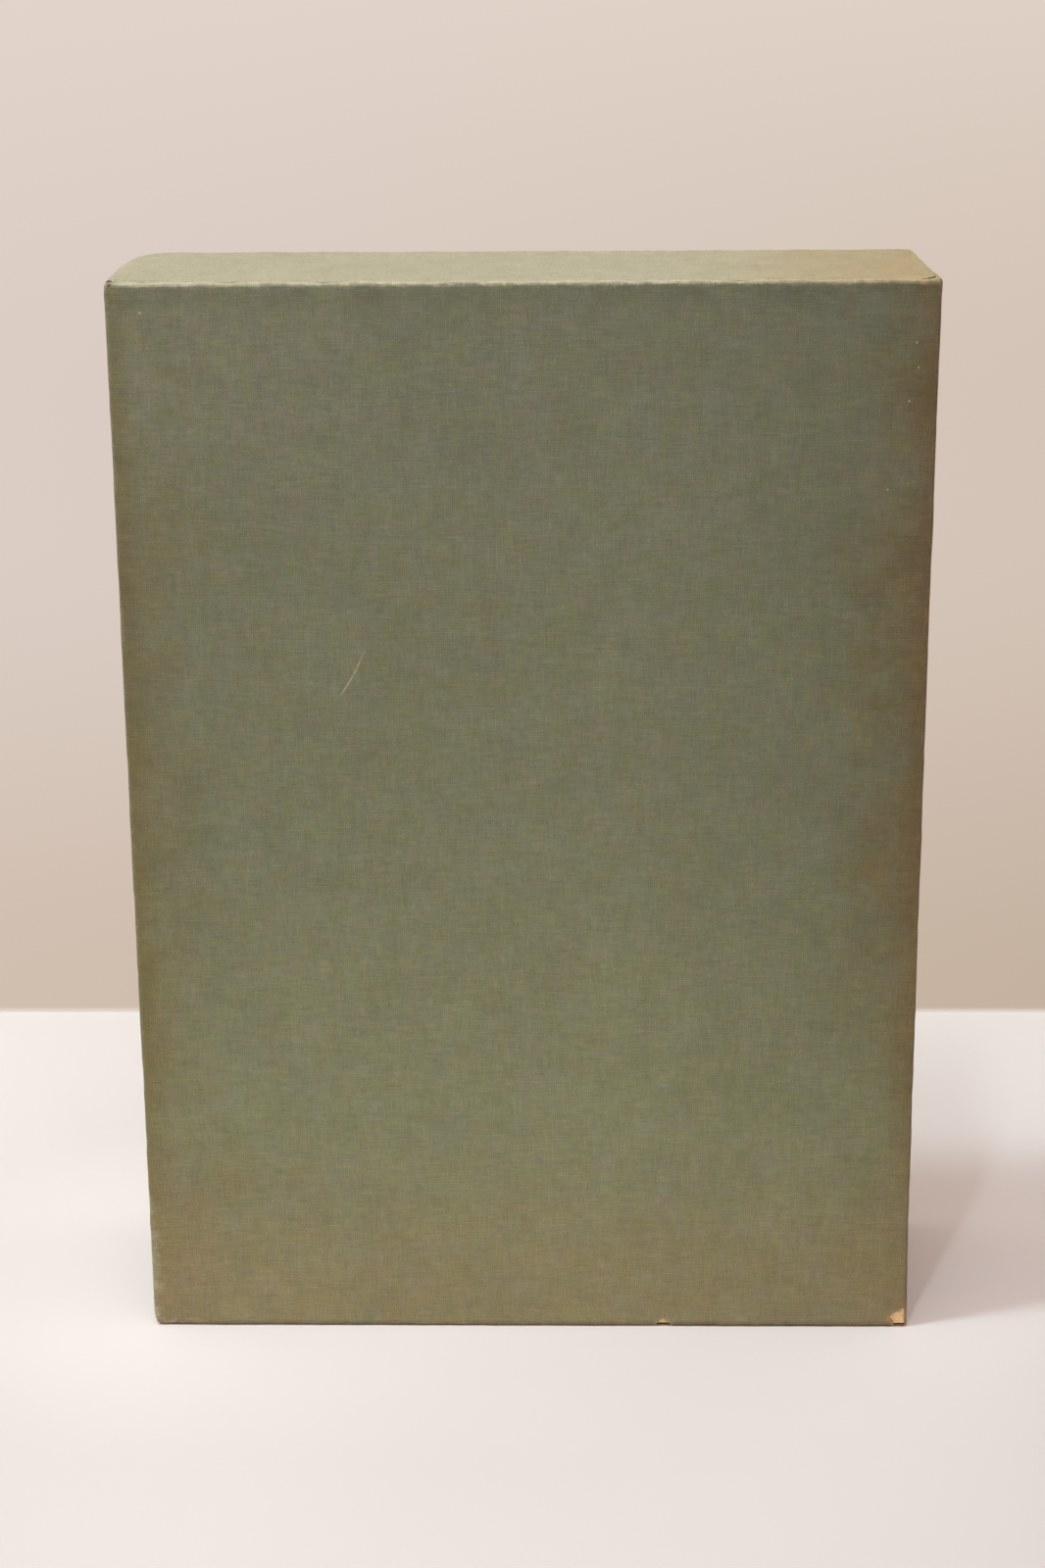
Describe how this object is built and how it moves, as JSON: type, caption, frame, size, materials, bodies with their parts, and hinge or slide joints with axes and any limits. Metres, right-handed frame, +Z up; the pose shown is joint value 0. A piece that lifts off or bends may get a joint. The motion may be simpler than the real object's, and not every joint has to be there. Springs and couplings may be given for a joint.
{
  "type": "book slipcase",
  "caption": "Upright rectangular slipcase of cloth-covered board, open on one narrow side, that a thick book slides into.",
  "frame": {"origin": "middle of the footprint, on the surface that the case stands on", "axes": "+Z up along the book's height, -Y out of the front panel, -X out of the open mouth, +X out of the closed side"},
  "size_m": [0.21, 0.069, 0.29],
  "materials": {
    "book_cloth": "matt plain-woven book cloth, faded grey-green, rubbed at the folds",
    "board": "raw tan binder's board",
    "stay_paper": "brown gummed paper",
    "lining_paper": "matt off-white paper, slightly toned",
    "infill_card": "thin off-white card"
  },
  "bodies": {
    "root": {"front_board": "board", "back_board": "board", "top_board": "board", "bottom_board": "board", "closed_side_board": "board", "front_top_stay": "stay_paper", "back_top_stay": "stay_paper", "front_bottom_stay": "stay_paper", "back_bottom_stay": "stay_paper", "closed_top_stay": "stay_paper", "closed_bottom_stay": "stay_paper", "front_closed_stay": "stay_paper", "back_closed_stay": "stay_paper", "front_lining": "lining_paper", "back_lining": "lining_paper", "closed_side_lining": "lining_paper", "top_lining": "lining_paper", "bottom_lining": "lining_paper", "top_infill": "infill_card", "bottom_infill": "infill_card", "side_cloth": "book_cloth", "top_cloth": "book_cloth", "bottom_cloth": "book_cloth"}
  },
  "joints": []
}
